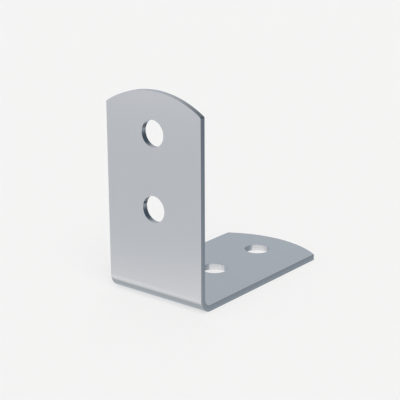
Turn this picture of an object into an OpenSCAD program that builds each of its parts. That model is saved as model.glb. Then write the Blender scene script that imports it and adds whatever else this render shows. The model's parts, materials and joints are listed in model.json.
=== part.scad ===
// L bracket, folded from one flat strip of sheet steel.
// Two equal legs meet in a rounded fold. Each leg ends in a shallow arch and has
// two plain round screw holes on its centreline.
// The base leg lies flat on z = 0 and points to +X, and the upright leg stands at the -X end.
// The origin is under the middle of the bracket, at the centre of its box's underside.

/* [Legs] */
// Length of each leg, from the outside of the fold to the crown of its arch
leg_length = 40; // [38:0.5:60]
// Width of the strip
strip_width = 22; // [16:0.5:30]
// Radius of the arch that ends each leg
arch_radius = 20; // [16:0.5:60]

/* [Sheet] */
// Thickness of the sheet
sheet = 1.2; // [0.8:0.1:2.5]
// Radius on the inside of the fold
fold_inside_radius = 1.7; // [0.8:0.1:4]
// Width of the small bevel that deburring leaves along every edge
edge_break = 0.1; // [0.05:0.01:0.2]

/* [Screw holes] */
// Diameter of each screw hole
hole_diameter = 5.1; // [3:0.1:7]
// Distance between the centres of a leg's two holes
hole_pitch = 14.2; // [8:0.1:16]
// Distance from the crown of the arch to the centre of the outer hole
hole_end_distance = 7.8; // [6:0.1:9]

/* [Hidden] */

// Sides of a full circle in the preview
$fn = 144;

// Radius on the outside of the fold, and the length that stays flat beyond it
fold_outside_radius = fold_inside_radius + sheet;
flat_length = leg_length - fold_outside_radius;

// Centres of the holes and of the arch, measured along a leg from the outside of the fold
outer_hole = leg_length - hole_end_distance;
inner_hole = outer_hole - hole_pitch;
arch_centre = leg_length - arch_radius;

// How far a cutting shape runs past the surface that it cuts
overcut = 0.5;

// The strip's cross-section: its width lies along x, and the side that becomes
// the outside of the fold lies on y = 0. Its four corners are broken at 45 degrees.
module strip_section() {
    side = strip_width / 2;
    polygon([
        [-side + edge_break, 0],
        [side - edge_break, 0],
        [side, edge_break],
        [side, sheet - edge_break],
        [side - edge_break, sheet],
        [-side + edge_break, sheet],
        [-side, sheet - edge_break],
        [-side, edge_break],
    ]);
}

// The straight part of a leg, lying along +X, before its end is cut to the arch
module flat_strip() {
    translate([fold_outside_radius, 0, 0])
        rotate([90, 0, 90])
            linear_extrude(flat_length)
                strip_section();
}

// A disc whose rim follows the arch. Its bevels carry on past both faces of the sheet,
// so that what it leaves of the sheet has a broken edge all along the arch.
module arch_disc() {
    flare = arch_radius - edge_break - overcut;
    rotate_extrude()
        polygon([
            [0, -overcut],
            [flare, -overcut],
            [arch_radius, edge_break],
            [arch_radius, sheet - edge_break],
            [flare, sheet + overcut],
            [0, sheet + overcut],
        ]);
}

// What a leg may keep: the strip's whole width as far as the arch's centre,
// and beyond it what lies within the arch
module leg_envelope() {
    side = strip_width / 2 + overcut;
    whole_width_length = max(arch_centre - fold_outside_radius, 0) + overcut;
    translate([arch_centre, 0, 0])
        arch_disc();
    translate([fold_outside_radius - overcut, -side, -overcut])
        cube([whole_width_length, 2 * side, sheet + 2 * overcut]);
}

// A punched hole, standing on the outer face of the sheet, with a broken rim on both faces
module screw_hole() {
    hole_radius = hole_diameter / 2;
    rim_depth = edge_break + overcut;
    rim_radius = hole_radius + rim_depth;
    translate([0, 0, -overcut])
        cylinder(h = sheet + 2 * overcut, r = hole_radius);
    translate([0, 0, -overcut])
        cylinder(h = rim_depth, r1 = rim_radius, r2 = hole_radius);
    translate([0, 0, sheet - edge_break])
        cylinder(h = rim_depth, r1 = hole_radius, r2 = rim_radius);
}

// One leg, lying flat along +X from where the fold ends
module leg() {
    difference() {
        intersection() {
            flat_strip();
            leg_envelope();
        }
        for (centre = [inner_hole, outer_hole])
            translate([centre, 0, 0])
                screw_hole();
    }
}

// The quarter turn between the legs: the same section, carried round the fold's axis
module fold() {
    translate([fold_outside_radius, 0, fold_outside_radius])
        rotate([90, 0, 0])
            rotate([0, 0, 180])
                rotate_extrude(angle = 90)
                    translate([fold_outside_radius, 0])
                        rotate(90)
                            strip_section();
}

// The whole bracket: the upright leg is the base leg mirrored in the plane
// that halves the corner
module bracket() {
    color([0.71, 0.73, 0.75])
        translate([-leg_length / 2, 0, 0]) {
            leg();
            fold();
            mirror([1, 0, -1])
                leg();
        }
}

bracket();
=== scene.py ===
# L bracket: one strip of plated sheet steel, punched, arched at both ends and folded once.
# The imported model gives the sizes. The bracket stands on a pale floor in a soft studio.
import json
import math

import bmesh
import bpy
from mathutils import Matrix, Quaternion, Vector


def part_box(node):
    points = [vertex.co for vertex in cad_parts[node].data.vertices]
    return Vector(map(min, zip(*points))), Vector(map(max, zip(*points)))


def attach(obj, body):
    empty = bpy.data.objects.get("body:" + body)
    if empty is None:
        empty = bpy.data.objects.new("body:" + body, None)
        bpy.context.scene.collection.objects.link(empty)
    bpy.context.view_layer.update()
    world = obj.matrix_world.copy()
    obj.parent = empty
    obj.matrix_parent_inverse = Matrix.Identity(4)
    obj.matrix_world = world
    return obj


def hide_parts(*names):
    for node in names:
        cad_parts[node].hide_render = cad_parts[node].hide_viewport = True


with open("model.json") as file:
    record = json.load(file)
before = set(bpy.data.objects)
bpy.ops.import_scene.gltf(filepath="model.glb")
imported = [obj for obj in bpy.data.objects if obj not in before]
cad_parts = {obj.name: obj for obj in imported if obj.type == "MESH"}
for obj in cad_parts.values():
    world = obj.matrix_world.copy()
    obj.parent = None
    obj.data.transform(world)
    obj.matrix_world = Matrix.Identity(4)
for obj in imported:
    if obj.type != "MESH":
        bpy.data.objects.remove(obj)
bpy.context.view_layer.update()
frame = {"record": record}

# The sizes below are in millimetres, and times MM they are in Blender's metres
MM = 0.001

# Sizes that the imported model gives
box_low, box_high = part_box("bracket")
mounts = {mount["name"]: mount for mount in frame["record"]["mounts"]}
LEG_LENGTH = (box_high.x - box_low.x) / MM
STRIP_WIDTH = (box_high.y - box_low.y) / MM
SHEET = mounts["base_top"]["pos_m"][2] / MM
HOLE_RADIUS = mounts["base_inner_hole"]["dims"]["r_mm"]
HOLE_PLACES = [
    (mounts[name]["pos_m"][0] - box_low.x) / MM
    for name in ("base_inner_hole", "base_outer_hole")
]

# Sizes that the record doesn't give. The first two are the solid's own.
ARCH_RADIUS = 20.0
FOLD_INSIDE_RADIUS = 1.7
EDGE_ROUND = 0.05
CORNER_ROUND = 0.3

# The sheet keeps its length at this share of its thickness, from the inside of the fold
NEUTRAL_SHARE = 0.42
FOLD_ANGLE = math.radians(90)

# How finely the curves are drawn
ARCH_STEPS = 64
CORNER_STEPS = 6
FOLD_STEPS = 24
HOLE_STEPS = 96
ROUND_STEPS = 4
FLOOR_STEPS = 96

# Narrow bands beside each curve that keep the shading of the flat faces flat
FACE_BAND = 0.05
FOLD_BAND = 0.2

# Worked out from the sizes above
FOLD_OUTSIDE_RADIUS = FOLD_INSIDE_RADIUS + SHEET
FLAT_LENGTH = LEG_LENGTH - FOLD_OUTSIDE_RADIUS
FOLD_LENGTH = FOLD_ANGLE * (FOLD_INSIDE_RADIUS + NEUTRAL_SHARE * SHEET)

# Every point of the mesh says how much of a cut wall it is, from 0 on a face to 1 on a wall.
# A facet whose points come to more than this on average is a wall.
WALL_START = 0.6

# Finish of the steel. The plating is a little cooler in some clouds than in others, and the
# streaks of the rolled sheet under it are a little darker. Streaks and clouds are counted per
# metre, stretch is along, across and through the sheet, roughness runs from where there is no
# streak to where one is strongest, relief is in millimetres, and polish is the roughness that
# wear takes away.
FACE_FINISH = {
    "warm": (0.70, 0.722, 0.736, 1.0),
    "cool": (0.69, 0.712, 0.741, 1.0),
    "streak": (0.655, 0.675, 0.70, 1.0),
    "streaks": 5200.0,
    "clouds": 110.0,
    "stretch": (0.035, 1.0, 1.0),
    "roughness": (0.105, 0.14),
    "relief": 0.0008,
    "polish": 0.03,
}
EDGE_FINISH = {
    "warm": (0.74, 0.757, 0.77, 1.0),
    "cool": (0.73, 0.75, 0.772, 1.0),
    "streak": (0.67, 0.69, 0.71, 1.0),
    "streaks": 5200.0,
    "clouds": 260.0,
    "stretch": (1.0, 1.0, 0.08),
    "roughness": (0.11, 0.17),
    "relief": 0.0014,
    "polish": 0.05,
}

# How much of its own tone a streak shows at its strongest
STREAK_SHARE = 0.5

# How the noise behind the streaks and the clouds is built up, and the part of its range in use
STREAK_DETAIL = 3.0
STREAK_CRISPNESS = 0.6
CLOUD_DETAIL = 2.0
CLOUD_CRISPNESS = 0.5
NOISE_LOW = 0.3
NOISE_HIGH = 0.7
NOISE_MIDDLE = 0.5

# The tools cut the outer share of the sheet smooth, and the rest tore away rougher and duller.
# Where the torn part starts wavers by a share of the sheet.
SMOOTH_SHARE = 0.42
TORN_SOFTNESS = 0.05
TORN_WAVER = 0.35
TORN_WAVES = 700.0
TORN_DETAIL = 3.0
TORN_COLOR = (0.665, 0.685, 0.705, 1.0)
TORN_ROUGHNESS = 0.04

# How often the polish on the rounded edges breaks up, and what brings its mask, which is
# a quarter in the middle of the rounding, up to one there
POLISH_BREAKS = 900.0
POLISH_DETAIL = 2.0
POLISH_GAIN = 4.0

# The studio, as the metal sees it by direction. The floor's tone lies under all the patches.
# A patch has its azimuth from +X towards +Y, its elevation, the angle within which its tone
# is full, the angle beyond which it is gone, all in degrees, and its tone.
FLOOR_AROUND = (0.507, 0.546, 0.593)
STUDIO = {
    "bright floor on the left": (-168, -17.5, 66.4, 69.2, (0.919, 0.898, 0.902)),
    "shade under the bracket": (118.6, -74.3, 18.3, 40.7, (0.481, 0.504, 0.509)),
    "shaded floor on the right": (-20.4, -42.8, 5.9, 22.8, (0.178, 0.174, 0.208)),
    "pale wall on the left": (142.2, 4.0, 24.8, 26.1, (0.678, 0.686, 0.704)),
    "brighter wall on the left": (140.2, 0.2, 7.8, 15.3, (0.88, 0.854, 0.887)),
    "upper walls": (0, 90, 62.8, 70.7, (0.506, 0.525, 0.553)),
    "dark side": (-44, 28.6, 11.4, 70.2, (0.071, 0.097, 0.125)),
    "soft light overhead": (0, 90, 15, 45, (0.95, 0.96, 0.97)),
}

# The large lamp overhead
LAMP_STRENGTH = 1.6
LAMP_COLOR = (0.99, 0.94, 0.875)
LAMP_WIDTH = math.radians(50)
LAMP_FROM = Vector((-0.50, -0.48, 0.85))

# The floor's own glow, wherever it is seen, keeps it pale and its shadow light
FLOOR_COLOR = (0.905, 0.905, 0.905, 1.0)
FLOOR_GLOW_SHARE = 0.68

# Radius and height of the floor's rings, in metres
FLOOR_RINGS = [(0.5, 0.0), (1.5, 0.0), (2.0, 0.08), (2.4, 0.35), (2.6, 0.8), (2.7, 1.4)]

# The photograph's view: directions in degrees, lengths in millimetres
VIEW_YAW = 38.715
VIEW_DOWN = 17.682
VIEW_ROLL = -0.25
VIEW_DISTANCE = 232.98
VIEW_TARGET = Vector((-6.475, 0.0, 16.428))
VIEW_LENS = 110.227
NEAREST_SEEN = 10.0


def add_object(name, data):
    """A new object in the scene."""
    placed = bpy.data.objects.new(name, data)
    bpy.context.scene.collection.objects.link(placed)
    return placed


def empty_tree(owner):
    """The node tree of a material or a world, with nothing in it yet."""
    owner.use_nodes = True
    owner.node_tree.nodes.clear()
    return owner.node_tree


def add_node(tree, kind, inputs=None, **settings):
    """A new node with these settings. An input takes a value, or a link from another node."""
    node = tree.nodes.new(kind)
    for name, value in settings.items():
        setattr(node, name, value)
    for name, value in (inputs or {}).items():
        if isinstance(value, bpy.types.NodeSocket):
            tree.links.new(value, node.inputs[name])
        else:
            node.inputs[name].default_value = value
    return node


def add_group(tree, group, inputs):
    """A node group placed in a tree, with these values and links."""
    return add_node(tree, "ShaderNodeGroup", inputs, node_tree=group)


def math_node(tree, operation, first, second=0.0):
    """The result of one sum on two values or outputs."""
    return add_node(tree, "ShaderNodeMath", {0: first, 1: second}, operation=operation).outputs[0]


def tone_mix(tree, share, first, second):
    """A colour between two colours. Each may be another node's output."""
    mix = add_node(
        tree, "ShaderNodeMix", {"Factor": share, "A": first, "B": second}, data_type="RGBA"
    )
    return mix.outputs["Result"]


def new_group(kind, name, inputs, outputs):
    """An empty node group with named sockets, and its input and output nodes."""
    group = bpy.data.node_groups.new(name, kind)
    for socket_name, socket_type in inputs.items():
        group.interface.new_socket(socket_name, in_out="INPUT", socket_type=socket_type)
    for socket_name, socket_type in outputs.items():
        group.interface.new_socket(socket_name, in_out="OUTPUT", socket_type=socket_type)
    return group, group.nodes.new("NodeGroupInput"), group.nodes.new("NodeGroupOutput")


# The flat blank, in millimetres. x runs along the strip from where the base leg starts,
# y runs across it, and z is the depth from what becomes the outside of the bracket.
# An outline is a list of points, each with the direction that faces out of the steel.
def leg_end():
    """The outline round the base leg's end."""
    side = STRIP_WIDTH / 2
    arch_centre = FLAT_LENGTH - ARCH_RADIUS
    corner_y = side - CORNER_ROUND
    corner_x = arch_centre + math.sqrt((ARCH_RADIUS - CORNER_ROUND) ** 2 - corner_y ** 2)
    corner_angle = math.atan2(corner_y, corner_x - arch_centre)
    points = []

    def add_arc(centre, radius, start, end, steps):
        for step in range(steps + 1):
            angle = start + (end - start) * step / steps
            outward = Vector((math.cos(angle), math.sin(angle), 0))
            points.append((centre + outward * radius, outward))

    quarter = math.pi / 2
    add_arc(Vector((corner_x, -corner_y, 0)), CORNER_ROUND, -quarter, -corner_angle, CORNER_STEPS)
    points.pop()
    add_arc(Vector((arch_centre, 0, 0)), ARCH_RADIUS, -corner_angle, corner_angle, ARCH_STEPS)
    points.pop()
    add_arc(Vector((corner_x, corner_y, 0)), CORNER_ROUND, corner_angle, quarter, CORNER_STEPS)
    return points


def fold_stations():
    """Places along the strip where both sides have a point, from the base leg back."""
    stations = [-FOLD_LENGTH * step / FOLD_STEPS for step in range(FOLD_STEPS + 1)]
    return [FOLD_BAND] + stations + [-FOLD_LENGTH - FOLD_BAND]


def mirrored(points):
    """The same stretch of outline on the upright leg."""
    return [
        (Vector((-FOLD_LENGTH - place.x, place.y, 0)), Vector((-outward.x, outward.y, 0)))
        for place, outward in reversed(points)
    ]


def strip_outline():
    """The closed outline of the blank, counterclockwise, and the number of points in a leg's end
    and in one side of the fold."""
    side = STRIP_WIDTH / 2
    end = leg_end()
    left = [(Vector((place, side, 0)), Vector((0, 1, 0))) for place in fold_stations()]
    right = [(Vector((place.x, -side, 0)), Vector((0, -1, 0))) for place, _ in reversed(left)]
    return end + left + mirrored(end) + right, len(end), len(left)


def hole_outline(centre_x):
    """The outline of a punched hole. Out of the steel is into the hole."""
    points = []
    for step in range(HOLE_STEPS):
        angle = 2 * math.pi * step / HOLE_STEPS
        outward = Vector((-math.cos(angle), -math.sin(angle), 0))
        points.append((Vector((centre_x, 0, 0)) - outward * HOLE_RADIUS, outward))
    return points


def edge_profile():
    """How every edge is rounded through the sheet: how far in from the outline, how deep, and how
    much of a cut wall it is."""
    quarter = [
        (EDGE_ROUND * (1 - math.sin(angle)), EDGE_ROUND * (1 - math.cos(angle)), step / ROUND_STEPS)
        for step in range(ROUND_STEPS + 1)
        for angle in [math.pi / 2 * step / ROUND_STEPS]
    ]
    half = [(EDGE_ROUND + FACE_BAND, 0.0, 0.0)] + quarter + [(0.0, EDGE_ROUND + FACE_BAND, 1.0)]
    return half + [(inset, SHEET - depth, wall) for inset, depth, wall in reversed(half)]


def add_edge(mesh, points):
    """The rounded edge along one closed outline, as rings of points from one face to the other."""
    wall_mask = mesh.verts.layers.float["cut_edge"]
    rings = []
    for inset, depth, wall in edge_profile():
        ring = []
        for place, outward in points:
            vertex = mesh.verts.new(place - outward * inset + Vector((0, 0, depth)))
            vertex[wall_mask] = wall
            ring.append(vertex)
        rings.append(ring)
    for near, far in zip(rings, rings[1:]):
        for index in range(len(points)):
            after = (index + 1) % len(points)
            mesh.faces.new((near[index], near[after], far[after], far[index]))
    return rings


def edges_along(mesh, vertices, closed):
    """The edges that join these points in turn."""
    pairs = list(zip(vertices, vertices[1:]))
    if closed:
        pairs.append((vertices[-1], vertices[0]))
    return [mesh.edges.get(pair) or mesh.edges.new(pair) for pair in pairs]


def add_face_sheets(mesh, outline_ring, end_count, side_count, hole_rings, direction):
    """One face of the sheet: strips across the fold, and a filled face with two holes on each leg."""
    left_start = end_count
    upright_start = left_start + side_count
    right_start = upright_start + end_count
    left = outline_ring[left_start:upright_start]
    right = outline_ring[right_start:][::-1]
    for index in range(side_count - 1):
        mesh.faces.new((left[index], left[index + 1], right[index + 1], right[index]))
    base_side = [right[0]] + outline_ring[:end_count] + [left[0]]
    upright_side = [left[-1]] + outline_ring[upright_start:right_start] + [right[-1]]
    for boundary, holes in ((base_side, hole_rings[:2]), (upright_side, hole_rings[2:])):
        edges = edges_along(mesh, boundary, closed=True)
        for hole in holes:
            edges += edges_along(mesh, hole, closed=True)
        bmesh.ops.triangle_fill(mesh, use_beauty=True, edges=edges, normal=direction)


def make_blank():
    """The whole strip before it is folded, as one closed mesh in metres."""
    mesh = bmesh.new()
    mesh.verts.layers.float.new("cut_edge")
    outline, end_count, side_count = strip_outline()
    outline_rings = add_edge(mesh, outline)
    base_holes = [place - FOLD_OUTSIDE_RADIUS for place in HOLE_PLACES]
    upright_holes = [-FOLD_LENGTH - place for place in base_holes]
    hole_rings = [add_edge(mesh, hole_outline(place)) for place in base_holes + upright_holes]
    for face, direction in ((0, (0, 0, -1)), (-1, (0, 0, 1))):
        face_holes = [rings[face] for rings in hole_rings]
        add_face_sheets(mesh, outline_rings[face], end_count, side_count, face_holes, direction)
    bmesh.ops.recalc_face_normals(mesh, faces=mesh.faces)
    bmesh.ops.scale(mesh, vec=(MM, MM, MM), verts=mesh.verts)
    data = bpy.data.meshes.new("plated_bracket")
    mesh.to_mesh(data)
    mesh.free()
    return add_object("plated_bracket", data)


# Folding the blank
def fold_tree():
    """The rule that folds a flat blank: the base leg stays where it is, and what lies beyond the
    fold turns up with it."""
    tree, given, result = new_group(
        "GeometryNodeTree",
        "Fold The Strip",
        {
            "Blank": "NodeSocketGeometry",
            "Outside Radius": "NodeSocketFloat",
            "Fold Length": "NodeSocketFloat",
            "Fold Angle": "NodeSocketFloat",
            "Fold Centre": "NodeSocketVector",
            "Face Finish": "NodeSocketMaterial",
            "Edge Finish": "NodeSocketMaterial",
        },
        {"Bracket": "NodeSocketGeometry"},
    )
    position = add_node(tree, "GeometryNodeInputPosition").outputs["Position"]
    marked = add_node(
        tree,
        "GeometryNodeStoreNamedAttribute",
        {"Geometry": given.outputs["Blank"], "Name": "flat_place", "Value": position},
        data_type="FLOAT_VECTOR",
        domain="POINT",
    )
    flat = add_node(tree, "ShaderNodeSeparateXYZ", {0: position})
    into_fold = math_node(tree, "MULTIPLY", flat.outputs["X"], -1.0)
    bent = add_node(
        tree,
        "ShaderNodeClamp",
        {"Value": into_fold, "Min": 0.0, "Max": given.outputs["Fold Length"]},
    ).outputs["Result"]
    straight = math_node(tree, "ADD", flat.outputs["X"], bent)
    share = math_node(tree, "DIVIDE", bent, given.outputs["Fold Length"])
    turn = math_node(tree, "MULTIPLY", share, given.outputs["Fold Angle"])
    radius = math_node(tree, "SUBTRACT", given.outputs["Outside Radius"], flat.outputs["Z"])
    below = math_node(tree, "MULTIPLY", radius, -1.0)
    arm = add_node(
        tree, "ShaderNodeCombineXYZ", {"X": straight, "Y": flat.outputs["Y"], "Z": below}
    )
    turned = add_node(
        tree,
        "ShaderNodeVectorRotate",
        {"Vector": arm.outputs["Vector"], "Angle": turn},
        rotation_type="Y_AXIS",
    )
    placed = add_node(
        tree,
        "ShaderNodeVectorMath",
        {0: turned.outputs["Vector"], 1: given.outputs["Fold Centre"]},
        operation="ADD",
    )
    folded = add_node(
        tree,
        "GeometryNodeSetPosition",
        {"Geometry": marked.outputs["Geometry"], "Position": placed.outputs["Vector"]},
    )
    smooth = add_node(
        tree, "GeometryNodeSetShadeSmooth", {"Geometry": folded.outputs["Geometry"]}
    )
    real = add_node(
        tree, "GeometryNodeRealizeInstances", {"Geometry": smooth.outputs["Geometry"]}
    )
    faces = add_node(
        tree,
        "GeometryNodeSetMaterial",
        {"Geometry": real.outputs["Geometry"], "Material": given.outputs["Face Finish"]},
    )
    cut_edge = add_node(
        tree, "GeometryNodeInputNamedAttribute", {"Name": "cut_edge"}, data_type="FLOAT"
    )
    on_wall = add_node(
        tree,
        "FunctionNodeCompare",
        {"A": cut_edge.outputs["Attribute"], "B": WALL_START},
        data_type="FLOAT",
        operation="GREATER_THAN",
    )
    walls = add_node(
        tree,
        "GeometryNodeSetMaterial",
        {
            "Geometry": faces.outputs["Geometry"],
            "Selection": on_wall.outputs["Result"],
            "Material": given.outputs["Edge Finish"],
        },
    )
    tree.links.new(walls.outputs["Geometry"], result.inputs["Bracket"])
    return tree


def fold(blank, face_finish, edge_finish):
    """Folds the blank by the rule and keeps the result as a plain mesh."""
    tree = fold_tree()
    sockets = {item.name: item.identifier for item in tree.interface.items_tree}
    modifier = blank.modifiers.new("Fold", "NODES")
    modifier.node_group = tree
    fold_centre = (
        box_low.x + FOLD_OUTSIDE_RADIUS * MM,
        (box_low.y + box_high.y) / 2,
        box_low.z + FOLD_OUTSIDE_RADIUS * MM,
    )
    modifier[sockets["Outside Radius"]] = FOLD_OUTSIDE_RADIUS * MM
    modifier[sockets["Fold Length"]] = FOLD_LENGTH * MM
    modifier[sockets["Fold Angle"]] = FOLD_ANGLE
    modifier[sockets["Fold Centre"]] = fold_centre
    modifier[sockets["Face Finish"]] = face_finish
    modifier[sockets["Edge Finish"]] = edge_finish
    evaluated = blank.evaluated_get(bpy.context.evaluated_depsgraph_get())
    folded = bpy.data.meshes.new_from_object(evaluated)
    blank.modifiers.clear()
    blank.data = folded
    return blank


# Effects that both finishes share
def grain_group():
    """Fine streaks and soft clouds that follow the sheet as it was rolled."""
    group, given, result = new_group(
        "ShaderNodeTree",
        "Rolled Grain",
        {
            "Place": "NodeSocketVector",
            "Streaks Per Metre": "NodeSocketFloat",
            "Clouds Per Metre": "NodeSocketFloat",
            "Stretch": "NodeSocketVector",
        },
        {"Streaks": "NodeSocketFloat", "Clouds": "NodeSocketFloat"},
    )
    stretched = add_node(
        group,
        "ShaderNodeVectorMath",
        {0: given.outputs["Place"], 1: given.outputs["Stretch"]},
        operation="MULTIPLY",
    )
    streaks = add_node(
        group,
        "ShaderNodeTexNoise",
        {
            "Vector": stretched.outputs["Vector"],
            "Scale": given.outputs["Streaks Per Metre"],
            "Detail": STREAK_DETAIL,
            "Roughness": STREAK_CRISPNESS,
        },
    )
    clouds = add_node(
        group,
        "ShaderNodeTexNoise",
        {
            "Vector": given.outputs["Place"],
            "Scale": given.outputs["Clouds Per Metre"],
            "Detail": CLOUD_DETAIL,
            "Roughness": CLOUD_CRISPNESS,
        },
    )
    for noise, name in ((streaks, "Streaks"), (clouds, "Clouds")):
        clear = add_node(
            group,
            "ShaderNodeMapRange",
            {"Value": noise.outputs["Fac"], "From Min": NOISE_LOW, "From Max": NOISE_HIGH},
        )
        group.links.new(clear.outputs["Result"], result.inputs[name])
    return group


def wear_group():
    """Where handling has polished the rounded edges, as a mask that breaks up along them."""
    group, given, result = new_group(
        "ShaderNodeTree",
        "Edge Polish",
        {
            "Cut Edge": "NodeSocketFloat",
            "Place": "NodeSocketVector",
            "Breaks Per Metre": "NodeSocketFloat",
        },
        {"Polish": "NodeSocketFloat"},
    )
    away = math_node(group, "SUBTRACT", 1.0, given.outputs["Cut Edge"])
    on_round = math_node(group, "MULTIPLY", away, given.outputs["Cut Edge"])
    breaks = add_node(
        group,
        "ShaderNodeTexNoise",
        {
            "Vector": given.outputs["Place"],
            "Scale": given.outputs["Breaks Per Metre"],
            "Detail": POLISH_DETAIL,
        },
    )
    strong = math_node(group, "MULTIPLY", on_round, POLISH_GAIN)
    polish = math_node(group, "MULTIPLY", strong, breaks.outputs["Fac"])
    group.links.new(polish, result.inputs["Polish"])
    return group


def torn_group():
    """The part of a cut wall that tore instead of being cut, with a wavering start, as a mask."""
    group, given, result = new_group(
        "ShaderNodeTree",
        "Torn Band",
        {
            "Cut Edge": "NodeSocketFloat",
            "Place": "NodeSocketVector",
            "Sheet": "NodeSocketFloat",
            "Smooth Share": "NodeSocketFloat",
            "Softness": "NodeSocketFloat",
            "Waver": "NodeSocketFloat",
            "Waves Per Metre": "NodeSocketFloat",
        },
        {"Torn": "NodeSocketFloat"},
    )
    place = add_node(group, "ShaderNodeSeparateXYZ", {0: given.outputs["Place"]})
    depth = math_node(group, "DIVIDE", place.outputs["Z"], given.outputs["Sheet"])
    along = add_node(
        group, "ShaderNodeCombineXYZ", {"X": place.outputs["X"], "Y": place.outputs["Y"]}
    )
    waves = add_node(
        group,
        "ShaderNodeTexNoise",
        {
            "Vector": along.outputs["Vector"],
            "Scale": given.outputs["Waves Per Metre"],
            "Detail": TORN_DETAIL,
        },
    )
    swing = math_node(group, "SUBTRACT", waves.outputs["Fac"], NOISE_MIDDLE)
    shift = math_node(group, "MULTIPLY", swing, given.outputs["Waver"])
    start = math_node(group, "ADD", given.outputs["Smooth Share"], shift)
    full = math_node(group, "ADD", start, given.outputs["Softness"])
    band = add_node(
        group,
        "ShaderNodeMapRange",
        {"Value": depth, "From Min": start, "From Max": full},
        interpolation_type="SMOOTHSTEP",
    )
    torn = math_node(group, "MULTIPLY", band.outputs["Result"], given.outputs["Cut Edge"])
    group.links.new(torn, result.inputs["Torn"])
    return group


def named_attribute(tree, name):
    """A node that reads what every point of the mesh says under this name."""
    return add_node(tree, "ShaderNodeAttribute", attribute_type="GEOMETRY", attribute_name=name)


def ranged(tree, value, low, high):
    """A 0 to 1 value, carried to the range from low to high."""
    range_node = add_node(
        tree, "ShaderNodeMapRange", {"Value": value, "To Min": low, "To Max": high}
    )
    return range_node.outputs["Result"]


def steel_material(name, finish, groups):
    """Plated steel: metal whose tone and gloss vary with the grain, polished along its edges and
    duller where a cut wall tore."""
    material = bpy.data.materials.new(name)
    tree = empty_tree(material)
    place = named_attribute(tree, "flat_place").outputs["Vector"]
    cut_edge = named_attribute(tree, "cut_edge").outputs["Fac"]
    grain = add_group(
        tree,
        groups["grain"],
        {
            "Place": place,
            "Streaks Per Metre": finish["streaks"],
            "Clouds Per Metre": finish["clouds"],
            "Stretch": finish["stretch"],
        },
    )
    wear = add_group(
        tree,
        groups["wear"],
        {"Place": place, "Cut Edge": cut_edge, "Breaks Per Metre": POLISH_BREAKS},
    )
    torn = add_group(
        tree,
        groups["torn"],
        {
            "Place": place,
            "Cut Edge": cut_edge,
            "Sheet": SHEET * MM,
            "Smooth Share": SMOOTH_SHARE,
            "Softness": TORN_SOFTNESS,
            "Waver": TORN_WAVER,
            "Waves Per Metre": TORN_WAVES,
        },
    ).outputs["Torn"]
    clouded = tone_mix(tree, grain.outputs["Clouds"], finish["warm"], finish["cool"])
    streak_share = math_node(tree, "MULTIPLY", grain.outputs["Streaks"], STREAK_SHARE)
    streaked = tone_mix(tree, streak_share, clouded, finish["streak"])
    color = tone_mix(tree, torn, streaked, TORN_COLOR)
    grained = ranged(tree, grain.outputs["Streaks"], *finish["roughness"])
    worn = math_node(tree, "MULTIPLY", wear.outputs["Polish"], finish["polish"])
    polished = math_node(tree, "SUBTRACT", grained, worn)
    torn_roughness = math_node(tree, "MULTIPLY", torn, TORN_ROUGHNESS)
    roughness = math_node(tree, "ADD", polished, torn_roughness)
    relief = add_node(
        tree,
        "ShaderNodeBump",
        {"Height": grain.outputs["Streaks"], "Distance": finish["relief"] * MM, "Strength": 1.0},
    )
    shader = add_node(
        tree,
        "ShaderNodeBsdfPrincipled",
        {
            "Base Color": color,
            "Metallic": 1.0,
            "Roughness": roughness,
            "Normal": relief.outputs["Normal"],
        },
    )
    add_node(tree, "ShaderNodeOutputMaterial", {"Surface": shader.outputs["BSDF"]})
    return material


# The studio
def soft_patch_group():
    """Lays one round patch of tone, with a soft rim, over what the world shows in that direction."""
    group, given, result = new_group(
        "ShaderNodeTree",
        "Soft Patch",
        {
            "Around": "NodeSocketColor",
            "Direction": "NodeSocketVector",
            "Centre": "NodeSocketVector",
            "Full Cosine": "NodeSocketFloat",
            "Gone Cosine": "NodeSocketFloat",
            "Tone": "NodeSocketColor",
        },
        {"Color": "NodeSocketColor"},
    )
    nearness = add_node(
        group,
        "ShaderNodeVectorMath",
        {0: given.outputs["Direction"], 1: given.outputs["Centre"]},
        operation="DOT_PRODUCT",
    )
    share = add_node(
        group,
        "ShaderNodeMapRange",
        {
            "Value": nearness.outputs["Value"],
            "From Min": given.outputs["Gone Cosine"],
            "From Max": given.outputs["Full Cosine"],
        },
        interpolation_type="SMOOTHSTEP",
    )
    tone = tone_mix(group, share.outputs["Result"], given.outputs["Around"], given.outputs["Tone"])
    group.links.new(tone, result.inputs["Color"])
    return group


def direction_of(azimuth, elevation):
    """A direction from its azimuth and elevation in degrees."""
    around = math.radians(azimuth)
    up = math.radians(elevation)
    return Vector((math.cos(up) * math.cos(around), math.cos(up) * math.sin(around), math.sin(up)))


def make_world():
    """The studio that lights the bracket and that its metal mirrors."""
    world = bpy.data.worlds.new("Studio")
    bpy.context.scene.world = world
    tree = empty_tree(world)
    patch_group = soft_patch_group()
    direction = add_node(tree, "ShaderNodeTexCoord").outputs["Generated"]
    color = add_node(tree, "ShaderNodeRGB").outputs["Color"]
    color.default_value = (*FLOOR_AROUND, 1.0)
    for azimuth, elevation, full, gone, tone in STUDIO.values():
        patch = add_group(
            tree,
            patch_group,
            {
                "Around": color,
                "Direction": direction,
                "Centre": direction_of(azimuth, elevation),
                "Full Cosine": math.cos(math.radians(full)),
                "Gone Cosine": math.cos(math.radians(gone)),
                "Tone": (*tone, 1.0),
            },
        )
        color = patch.outputs["Color"]
    background = add_node(tree, "ShaderNodeBackground", {"Color": color, "Strength": 1.0})
    add_node(tree, "ShaderNodeOutputWorld", {"Surface": background.outputs["Background"]})


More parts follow.
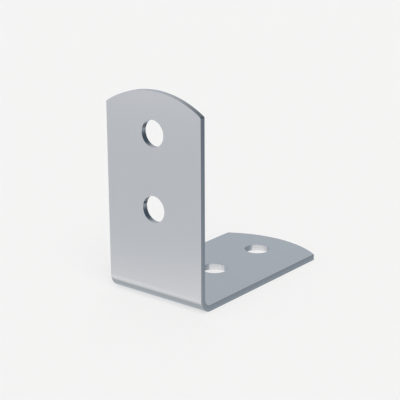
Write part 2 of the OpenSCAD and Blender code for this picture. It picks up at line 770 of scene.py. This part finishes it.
def make_lamp():
    """The large soft lamp. The metal mirrors the studio and not the lamp."""
    data = bpy.data.lights.new("Overhead_lamp", "SUN")
    data.energy = LAMP_STRENGTH
    data.color = LAMP_COLOR
    data.angle = LAMP_WIDTH
    lamp = add_object("Overhead_lamp", data)
    lamp.rotation_mode = "QUATERNION"
    lamp.rotation_quaternion = LAMP_FROM.to_track_quat("Z", "Y")
    lamp.visible_glossy = False


def floor_material():
    """Matt and pale, with part of its light as its own glow, so that the shadow on it stays light."""
    material = bpy.data.materials.new("Pale floor")
    tree = empty_tree(material)
    matt = add_node(tree, "ShaderNodeBsdfDiffuse", {"Color": FLOOR_COLOR})
    glow = add_node(tree, "ShaderNodeEmission", {"Color": FLOOR_COLOR, "Strength": 1.0})
    ray = add_node(tree, "ShaderNodeLightPath").outputs
    mirrored_or_seen = math_node(tree, "MAXIMUM", ray["Is Camera Ray"], ray["Is Glossy Ray"])
    in_view = math_node(tree, "MAXIMUM", mirrored_or_seen, ray["Is Transmission Ray"])
    share = math_node(tree, "MULTIPLY", in_view, FLOOR_GLOW_SHARE)
    mixed = add_node(
        tree, "ShaderNodeMixShader", {0: share, 1: matt.outputs["BSDF"], 2: glow.outputs["Emission"]}
    )
    add_node(tree, "ShaderNodeOutputMaterial", {"Surface": mixed.outputs["Shader"]})
    return material


def make_floor():
    """A pale floor that curves up far away. The metal mirrors the world's own floor instead."""
    mesh = bmesh.new()
    centre = mesh.verts.new((0, 0, 0))
    rings = []
    for radius, height in FLOOR_RINGS:
        rings.append([
            mesh.verts.new((radius * math.cos(angle), radius * math.sin(angle), height))
            for angle in [2 * math.pi * step / FLOOR_STEPS for step in range(FLOOR_STEPS)]
        ])
    for index in range(FLOOR_STEPS):
        after = (index + 1) % FLOOR_STEPS
        mesh.faces.new((centre, rings[0][index], rings[0][after]))
        for near, far in zip(rings, rings[1:]):
            mesh.faces.new((near[index], far[index], far[after], near[after]))
    data = bpy.data.meshes.new("floor")
    for face in mesh.faces:
        face.smooth = True
    mesh.to_mesh(data)
    mesh.free()
    floor = add_object("floor", data)
    data.materials.append(floor_material())
    floor.visible_glossy = False
    return floor


def make_camera():
    """The photograph's camera."""
    forward = direction_of(VIEW_YAW, -VIEW_DOWN)
    data = bpy.data.cameras.new("Camera")
    data.lens = VIEW_LENS
    data.clip_start = NEAREST_SEEN * MM
    camera = add_object("Camera", data)
    camera.rotation_mode = "QUATERNION"
    roll = Quaternion((0, 0, 1), math.radians(VIEW_ROLL))
    camera.rotation_quaternion = forward.to_track_quat("-Z", "Y") @ roll
    camera.location = (VIEW_TARGET - forward * VIEW_DISTANCE) * MM
    bpy.context.scene.camera = camera


make_camera()
make_world()
make_lamp()
make_floor()

groups = {"grain": grain_group(), "wear": wear_group(), "torn": torn_group()}
plated_face = steel_material("Plated face", FACE_FINISH, groups)
sheared_edge = steel_material("Sheared edge", EDGE_FINISH, groups)
bracket = fold(make_blank(), plated_face, sheared_edge)
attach(bracket, "root")
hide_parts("bracket")

bpy.context.scene.view_settings.view_transform = "Standard"
